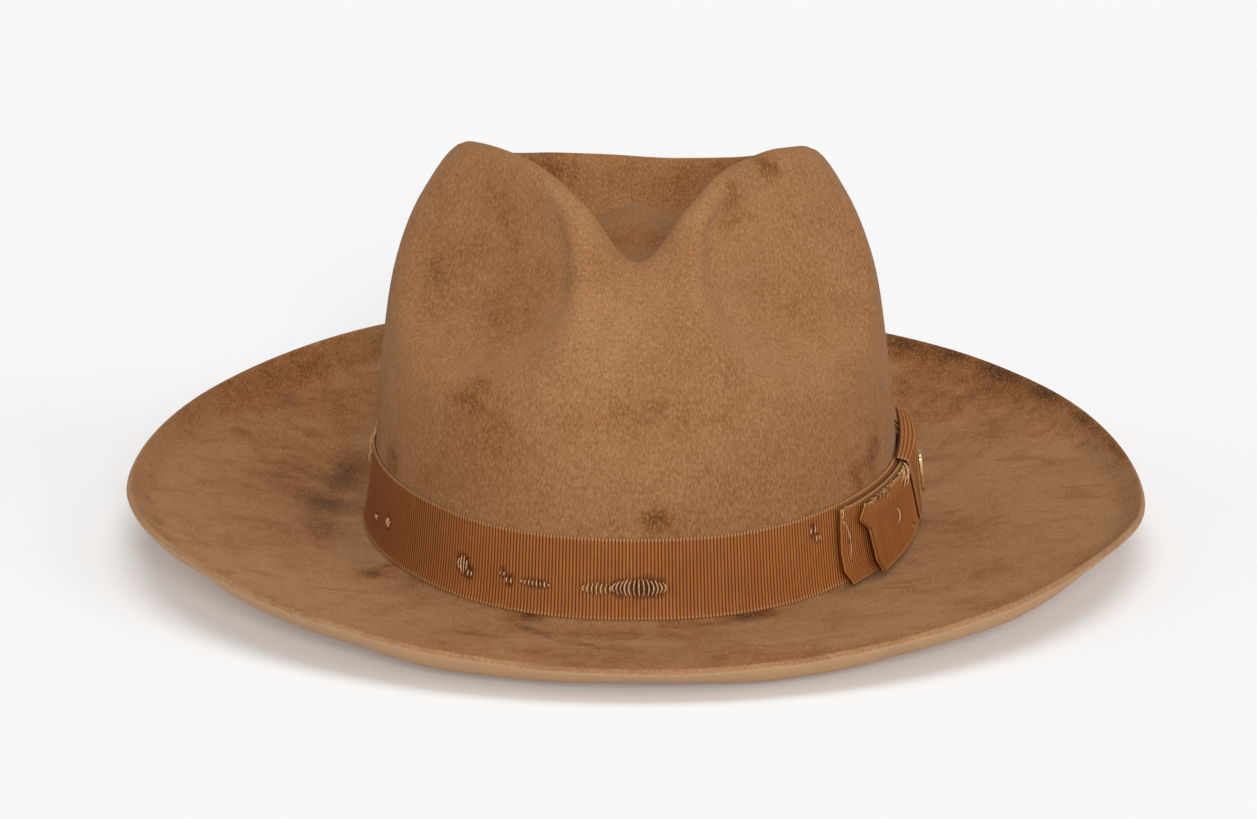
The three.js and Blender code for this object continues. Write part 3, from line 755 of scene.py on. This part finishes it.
def ribbon_looks(piece, name, tone=1.0):
    """Russet ribbed ribbon, dull with handling; painted shade between its ribs, in its bare spots
    and down the hat's left side.
    """
    made, shader, place = material_on(piece, name)
    rib_top = place.kept("rib_top")
    across = place.kept("across")
    cloud = place.noise(26, 4, 0.6)
    streak = place.squeezed(1, 1, 0.12).noise(420, 3, 0.6)
    weave = place.squeezed(0.6, 0.6, 1).noise(5200, 2, 0.6)
    sideways = place.node("ShaderNodeSeparateXYZ", {0: place}, output="X")
    base = place.colour(0.450 * tone, 0.152 * tone, 0.032 * tone)
    base = base.mixed(cloud.between(0.38, 0.68) * 0.5, (0.33 * tone, 0.110 * tone, 0.026 * tone))
    base = base.mixed(streak.between(0.45, 0.75) * 0.40, (0.54 * tone, 0.230 * tone, 0.07 * tone))
    # Painted shade: the ribbon is darker down the hat's left side, away from the lamps.
    base = base.mixed(sideways.between(-0.045, -0.082) * 0.62, (0.210, 0.064, 0.018))
    # Painted shade in the grooves between the ribs.
    base = base.mixed((1 - rib_top).between(0.10, 0.72) * 0.90, (0.080, 0.022, 0.005))
    edge = (across.between(0.045, 0.02) + across.between(0.955, 0.98)).clamped()
    base = base.mixed(edge * rib_top.between(0.35, 0.9) * 0.6, (0.52, 0.30, 0.13))
    # The bare spots are darker: partly the worn cloth's darker ground, partly painted shade under
    # the lifted threads.
    base = base.mixed(place.kept("bare") * 0.85, (0.050, 0.014, 0.004))
    plug(made, shader, Base_Color=base, Normal=place.bump(weave, 0.00012, 0.45),
         Roughness=0.62 + cloud * 0.2)
    shader.inputs["Specular IOR Level"].default_value = 0.20
    shader.inputs["Sheen Weight"].default_value = 0.03
    shader.inputs["Sheen Roughness"].default_value = 0.4
    shader.inputs["Sheen Tint"].default_value = (0.9, 0.55, 0.3, 1)


def band_place(run, rise, off):
    """The band stands against the wall, its lower edge eased out over the bend of the break."""
    height = band_low + (band_high - band_low) * rise
    ease = np.clip((band_foot_ends - height) / 2, 0, 1) ** 2 * 0.35
    return wall(run * 360, height, band_gap + ease + off)


def band_bare(run, rise):
    return bareness(run * 360, band_low + (band_high - band_low) * rise, bare_spots)


band_run = np.arange(rib_count * samples_per_rib) / (rib_count * samples_per_rib)
band = ribbed_sheet("ribbon_band_cloth", band_run, band_place, rib_count, band_bare, band_body,
                    True)
ribbon_looks(band, "ribbon_band")
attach(band, "root")
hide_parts("ribbon_band")


# Bare threads
# Over the moth-eaten spots the ribbon's pale core threads lie bare, bowed apart over dark gaps.
thread_sides = 6
thread_steps = 9


def thread_mesh(name, threads):
    """Round threads, thin at both ends; each is its path and its radius in millimetres."""
    points, faces = [], []
    for path, radius in threads:
        along = np.gradient(path, axis=0)
        outward = path * (1, 1, 0)
        side = np.cross(along, outward)
        side /= np.linalg.norm(side, axis=1, keepdims=True)
        other = np.cross(side, along)
        other /= np.linalg.norm(other, axis=1, keepdims=True)
        taper = radius * (0.25 + 0.75 * np.sin(math.pi * np.linspace(0.06, 0.94, len(path))) ** 0.5)
        first = len(points)
        for k in range(len(path)):
            for turn in np.arange(thread_sides) * 2 * math.pi / thread_sides:
                points.append(path[k] + taper[k] * (math.cos(turn) * side[k]
                                                    + math.sin(turn) * other[k]))
        faces += grid_faces(len(path), thread_sides, first=first)
        last = first + (len(path) - 1) * thread_sides
        faces.append(tuple(range(first, first + thread_sides))[::-1])
        faces.append(tuple(range(last, last + thread_sides)))
    return mesh_object(name, points, faces)


def thread_looks(piece, name):
    """Pale worn thread, browner in places."""
    made, shader, place = material_on(piece, name)
    soiled = place.noise(900, 3, 0.6)
    shade = place.colour(0.74, 0.46, 0.24).mixed(soiled.between(0.42, 0.66) * 0.7,
                                                 (0.42, 0.19, 0.07))
    plug(made, shader, Base_Color=shade)
    shader.inputs["Roughness"].default_value = 0.8
    shader.inputs["Specular IOR Level"].default_value = 0.2


# Rows of threads on the band: first and last angle, how many, lowest and highest end, the angle
# they bow away from, how far they bow in degrees, how far they stand out in millimetres. A row
# is lens-shaped, shorter toward both its ends, and no two threads end quite level.
thread_rows = [
    (-73.3, -72.5, 2, 7.6, 10.4, -73.0, 0.1, 0.2),
    (-66.0, -64.6, 3, 9.2, 13.0, -65.2, 0.1, 0.3),
    (-39.5, -37.7, 4, 8.0, 14.0, -38.6, 0.5, 0.35),
    (-37.2, -36.4, 2, 7.2, 10.6, -38.0, 0.3, 0.2),
    (-29.0, -28.2, 2, 10.4, 12.9, -27.0, 0.1, 0.2),
    (-27.5, -26.5, 2, 8.2, 11.6, -24.0, 0.1, 0.25),
    (-24.2, -18.2, 8, 9.2, 11.4, -18.0, 0.1, 0.2),
    (-10.8, -5.2, 7, 8.4, 12.4, 0.7, 0.25, 0.2),
    (-4.4, 5.4, 13, 8.0, 13.6, 0.7, 0.55, 0.4),
    (39.4, 40.6, 2, 18.6, 22.4, 45.0, 0.1, 0.2),
    (40.8, 41.6, 2, 16.2, 19.4, 45.0, 0.1, 0.2),
]
thread_radius = 0.24
stray_radius = 0.18
thread_gap = 0.12
uneven_ends = 0.35
lens_share = 0.2
thread_lean = 0.2
over_band = band_gap + band_body + thread_gap
threads = []
share = np.linspace(0, 1, thread_steps)
for first_angle, last_angle, count, low, high, parted_at, bow, stand in thread_rows:
    for k, at in enumerate(np.linspace(first_angle, last_angle, count)):
        from_middle = abs(2 * k / (count - 1) - 1)
        shorter = (uneven_ends * abs(math.sin(3.7 * k + at))
                   + lens_share * (high - low) * from_middle**2)
        away = math.copysign(min(abs(at - parted_at) / 2, 1), at - parted_at)
        swell = np.sin(math.pi * share)
        lift = (low + shorter) + (high - low - 2 * shorter) * share
        lean = thread_lean * math.sin(5.1 * k + at) * (share - 0.5)
        path = wall(at + bow * away * swell + lean, lift, over_band + stand * swell)
        threads.append((path, thread_radius + 0.03 * math.sin(2.3 * k)))

# Curled ends at the band's seam: first angle and the turn from it, first height and the rise from
# it, how often they curl.
seam_threads = [
    (-91.0, 1.5, 19.0, 12.0, 5.0),
    (-90.0, -1.8, 24.0, 4.0, 7.0),
    (-89.5, -1.5, 18.0, 6.0, 6.0),
]
for from_angle, angle_gone, from_height, height_gone, curl in seam_threads:
    stray = wall(from_angle + angle_gone * share, from_height + height_gone * share,
                 1.0 + 0.7 * np.sin(curl * share))
    threads.append((stray, stray_radius))
band_threads = thread_mesh("bare_band_threads", threads)
thread_looks(band_threads, "bare_threads")
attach(band_threads, "root")


# Bow loops
# Two flat loops of the same ribbon on each side of the knot, a longer one below and a shorter,
# looser one above. Each is laid out along the band and folded back on itself, hollow inside.
bow_angle = 88.0
ribbon_pitch = 1.2
loop_hollow = 0.35
loop_thickness = 0.34
loop_start = 0.4
loop_ripple = 0.35
bow_span = 40.0
bow_reach = np.linalg.norm(
    wall(bow_angle - bow_span / 2, band_height / 2, 0)
    - wall(bow_angle + bow_span / 2, band_height / 2, 0)) / bow_span
knot_width = 25.0

# Each loop: name, side, distance of its inner face off the wall, how far its free end stands
# out, heights of its edges, the angles of its fold from foot to top as they lie from the bow's
# middle, and its bare spots. A loop that stands out by more than 1 mm ripples as well.
fold_rises = (0.0, 0.2, 0.45, 0.65, 0.82, 1.0)
bow_loops = [
    ("front_lower", -1, 1.05, 1.0, (1.0, 24.4), (39.2, 41.4, 41.9, 41.7, 41.5, 41.2),
     [(48.6, 14.0, 0.35, 6.0, 0.9)]),
    ("front_upper", -1, 2.55, 2.8, (1.6, 23.8), (31.6, 33.6, 34.4, 34.8, 37.3, 34.9),
     [(66.0, 13.0, 0.8, 2.2, 1.0), (75.2, 20.6, 2.4, 3.2, 0.8), (56.5, 23.4, 1.6, 0.8, 0.7),
      (61.0, 23.2, 1.2, 1.2, 0.6), (76.0, 4.4, 0.9, 0.8, 0.7)]),
    ("back_lower", 1, 1.05, 0.5, (1.0, 24.6), (39.6, 41.2, 41.6, 41.5, 41.4, 41.0), []),
    ("back_upper", 1, 2.55, 2.0, (1.6, 24.2), (32.8, 34.0, 34.6, 34.9, 35.8, 34.8),
     [(108.0, 14.0, 0.9, 2.6, 0.8)]),
]
fold_radius = (loop_thickness + rib_height + loop_hollow) / 2
fold_length = math.pi * fold_radius


def folded_ribbon(way, face, flare, low, high, fold_reach):
    """A loop's ribbon: its length laid flat, and the places of its cloth and its outer layer."""
    straight = fold_reach.max()
    total = 2 * straight + fold_length

    def cloth(run, rise, off):
        """Out along the wall, round the fold and back; off is measured away from the hollow."""
        gone = run * total
        reach = np.interp(rise, fold_rises, fold_reach)
        turn = np.clip((gone - straight) / fold_length, 0, 1) * math.pi
        out_and_back = np.minimum(np.minimum(gone, total - gone), straight)
        along = out_and_back / straight * (reach - fold_radius) + loop_start
        grown = fold_radius - (loop_thickness + rib_height) / 2 + off
        along = along + grown * np.sin(turn)
        stand = face + fold_radius + (loop_thickness + rib_height) / 2 - grown * np.cos(turn)
        free = np.clip((along - knot_width / 2) / (reach - knot_width / 2), 0, 1)
        ripple = loop_ripple * np.sin(rise * 5 + along * 0.10) * free * (flare > 1)
        stand = stand + (flare * free**2 + ripple) * (1 - 0.25 * rise)
        return wall(bow_angle + way * along / bow_reach, low + (high - low) * rise, stand)

    def outer_layer(angle, height, off):
        rise = (height - low) / (high - low)
        reach = np.interp(rise, fold_rises, fold_reach)
        along = (way * (angle - bow_angle) * bow_reach - loop_start) / (reach - fold_radius)
        return cloth(1 - np.clip(along, 0, 1) * straight / total, rise, off)

    def worn(run, rise, spots):
        """How bare the cloth is; only its outer layer is worn."""
        outer = run * total > straight + fold_length
        along = np.where(outer, total - run * total, 0)
        return outer * bareness(bow_angle + way * along / bow_reach,
                                low + (high - low) * rise, spots)

    return total, cloth, outer_layer, worn


loop_faces = {}
for name, way, face, flare, (low, high), fold_angles, spots in bow_loops:
    total, cloth, loop_faces[name], worn_at = folded_ribbon(
        way, face, flare, low, high, np.array(fold_angles) * bow_reach)
    rib_total = round(total / ribbon_pitch)
    loop_run = np.linspace(0, 1, rib_total * samples_per_rib + 1)
    loop = ribbed_sheet("bow_" + name, loop_run, cloth, rib_total,
                        lambda run, rise: worn_at(run, rise, spots), loop_thickness, False)
    ribbon_looks(loop, "ribbon_" + name, 0.94)
    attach(loop, "root")
    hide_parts("bow_loop_" + name)
    round(total / 1000, 3)

# Frayed threads of the loops: loop, angle and height at one end and the other, how far they bow
# aside in degrees, how far they stand out in millimetres, radius.
frays = [
    ("front_upper", (66.6, 15.6), (66.4, 10.8), 0.25, 0.5, 0.24),
    ("front_upper", (72.2, 24.6), (71.5, 21.0), 0.3, 0.5, 0.20),
    ("front_upper", (73.4, 25.2), (73.0, 18.4), -0.4, 0.7, 0.24),
    ("front_upper", (74.6, 25.4), (74.9, 19.4), 0.4, 0.8, 0.24),
    ("front_upper", (75.6, 24.6), (75.2, 17.6), -0.3, 0.9, 0.22),
    ("front_upper", (76.6, 24.0), (77.4, 19.0), 0.3, 0.6, 0.24),
    ("front_upper", (77.6, 22.6), (77.0, 17.0), -0.2, 0.5, 0.13),
    ("front_upper", (75.6, 5.4), (76.4, 3.6), 0.2, 0.3, 0.20),
    ("front_upper", (54.0, 23.6), (55.2, 21.8), 0.5, 0.4, 0.13),
    ("front_upper", (54.4, 24.6), (56.6, 24.0), 0.2, 0.5, 0.13),
    ("front_upper", (56.8, 24.8), (58.0, 22.6), 0.6, 0.5, 0.13),
    ("front_upper", (58.2, 24.4), (60.4, 24.9), 0.0, 0.6, 0.13),
    ("front_upper", (60.6, 24.6), (61.4, 21.4), 0.5, 0.5, 0.13),
    ("front_upper", (61.6, 24.6), (64.0, 24.8), 0.0, 0.5, 0.13),
    ("front_upper", (64.4, 24.8), (67.0, 24.4), 0.0, 0.6, 0.13),
    ("front_upper", (67.4, 24.4), (68.4, 23.2), 0.3, 0.4, 0.13),
    ("front_upper", (68.8, 24.8), (71.8, 24.9), 0.0, 0.6, 0.20),
    ("front_lower", (47.8, 19.6), (48.3, 8.4), 0.55, 0.25, 0.20),
    ("front_lower", (46.9, 24.4), (46.6, 21.6), 0.2, 0.3, 0.20),
    ("front_lower", (47.6, 24.8), (49.8, 24.5), 0.2, 0.3, 0.13),
    ("front_lower", (46.6, 21.0), (46.9, 19.6), 0.3, 0.3, 0.20),
    ("back_upper", (108.0, 16.4), (108.3, 11.8), 0.4, 0.4, 0.24),
    ("back_upper", (119.4, 24.4), (118.0, 23.4), 0.3, 0.4, 0.13),
]
fray_gap = 0.15
threads = []
for name, (from_angle, from_height), (to_angle, to_height), bow, stand, radius in frays:
    swell = np.sin(math.pi * share)
    path = loop_faces[name](
        from_angle + (to_angle - from_angle) * share + bow * swell,
        from_height + (to_height - from_height) * share,
        loop_thickness + fray_gap + stand * swell)
    threads.append((path, radius))
loop_threads = thread_mesh("bare_loop_threads", threads)
thread_looks(loop_threads, "bare_loop_threads")
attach(loop_threads, "root")


# Bow knot
# A strip of the same ribbon wrapped over the middle of the loops. Its ribs run level, its front
# selvedge is beaded and stands a little proud, and its ends tuck in over and under the band.
knot_face = 4.35
knot_low = 0.6
knot_high = 27.0
knot_rise_behind = 7.0
knot_slant = 16.0
knot_swell = 0.5
knot_crown = 0.9
knot_tuck = 0.10
knot_foot_stand = 1.2
knot_body = 0.36
knot_ribs = 30
samples_per_knot_rib = 8


def knot_section(way_up):
    """The knot's height share and how far it stands out, from under its foot to its head."""
    lift = np.clip(way_up / knot_tuck, 0, 1) * np.clip((1 - way_up) / knot_tuck, 0, 1)
    out_share = np.sin(lift * math.pi / 2) ** 0.7
    stand = knot_foot_stand + (knot_face - knot_foot_stand) * out_share
    return 0.5 - 0.5 * np.cos(math.pi * (0.12 + 0.76 * way_up)), stand, lift


fine_way = np.linspace(0, 1, 801)
share_up, stand_up, _ = knot_section(fine_way)
gone_up = np.append(0, np.cumsum(np.hypot(
    np.diff(share_up) * (knot_high - knot_low), np.diff(stand_up))))


def knot_place(run, rise, off):
    """run goes evenly up the knot from under its foot to behind its head; rise goes round."""
    way_up = np.interp(run, gone_up / gone_up[-1], fine_way)
    height, stand, lift = knot_section(way_up)
    middle = np.maximum(1 - np.abs(2 * rise - 1), 0) ** 0.5
    swell = knot_swell * np.sin(math.pi * rise)
    swell = swell + knot_crown * np.clip((way_up - 0.45) / 0.5, 0, 1) * middle
    top = knot_high + knot_rise_behind * rise
    along = (rise - 0.5) * (knot_width + 1.5 - 3.0 * np.sin(math.pi * way_up))
    along = along - knot_slant * (height - 0.5) * (1 - rise)
    return wall(bow_angle + along / bow_reach, knot_low + (top - knot_low) * height,
                stand + swell * lift + off)


knot_run = np.linspace(0, 1, knot_ribs * samples_per_knot_rib + 1)
knot = ribbed_sheet("bow_knot_wrap", knot_run, knot_place, knot_ribs,
                    lambda run, rise: np.zeros_like(rise), knot_body, False)
ribbon_looks(knot, "ribbon_knot", 0.9)
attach(knot, "root")
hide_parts("bow_knot")


# Brass pin
# A plain open frame of flat brass wire with rounded corners, pinned upright on the knot, with
# patchy tarnish.
pin_height = 12.0
pin_width = 10.5
pin_bar = 1.7
pin_thick = 1.2
pin_bevel = 0.32
pin_stand = 6.15
pin_middle = 16.0
pin_corner = 1.9
pin_inner_corner = 0.2
corner_steps = 6
bevel_steps = 4

frame_ring = []
for corner, (side_x, side_y) in enumerate([(1, -1), (1, 1), (-1, 1), (-1, -1)]):
    for k in range(corner_steps + 1):
        turn = math.radians(-90 + 90 * corner + 90 * k / corner_steps)
        frame_ring.append((side_x, side_y, math.cos(turn), math.sin(turn)))
profile = []
for corner, (side_in, side_out) in enumerate([(0, 0), (1, 0), (1, 1), (0, 1)]):
    for k in range(bevel_steps):
        turn = math.radians(180 + 90 * corner + 90 * k / (bevel_steps - 1))
        profile.append((
            (pin_bevel if not side_in else pin_bar - pin_bevel) + pin_bevel * math.cos(turn),
            (pin_bevel if not side_out else pin_thick - pin_bevel) + pin_bevel * math.sin(turn)))
foot, head = (wall(bow_angle, pin_middle + side * pin_height / 2, pin_stand) for side in (-1, 1))
pin_up = (head - foot) / np.linalg.norm(head - foot)
pin_out = wall(bow_angle, pin_middle, 1) - wall(bow_angle, pin_middle, 0)
pin_along = np.cross(pin_up, pin_out)
pin_along /= np.linalg.norm(pin_along)
pin_out = np.cross(pin_along, pin_up)
pin_points = []
for side_x, side_y, turn_x, turn_y in frame_ring:
    for inwards, outwards in profile:
        reach = max(pin_corner - inwards, pin_inner_corner)
        flat_x = side_x * (pin_width / 2 - pin_corner) + turn_x * reach
        flat_y = side_y * (pin_height / 2 - pin_corner) + turn_y * reach
        pin_points.append((foot + head) / 2 + pin_along * flat_x + pin_up * flat_y
                          + pin_out * outwards)
pin = mesh_object("brass_pin_frame", pin_points,
                  grid_faces(len(frame_ring), len(profile), closed_rows=True))
brass_material, brass_shader, place = material_on(pin, "brass")
tarnish = place.noise(700, 4, 0.6)
scratch = place.squeezed(1, 1, 6).noise(2600, 2, 0.6)
metal = place.colour(0.95, 0.70, 0.34).mixed(tarnish.between(0.45, 0.72) * 0.55,
                                             (0.42, 0.23, 0.08))
plug(brass_material, brass_shader, Base_Color=metal,
     Roughness=0.20 + tarnish.between(0.4, 0.8) * 0.35,
     Normal=place.bump(scratch, 0.00005, 0.3))
brass_shader.inputs["Metallic"].default_value = 1.0
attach(pin, "root")
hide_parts("brass_pin")
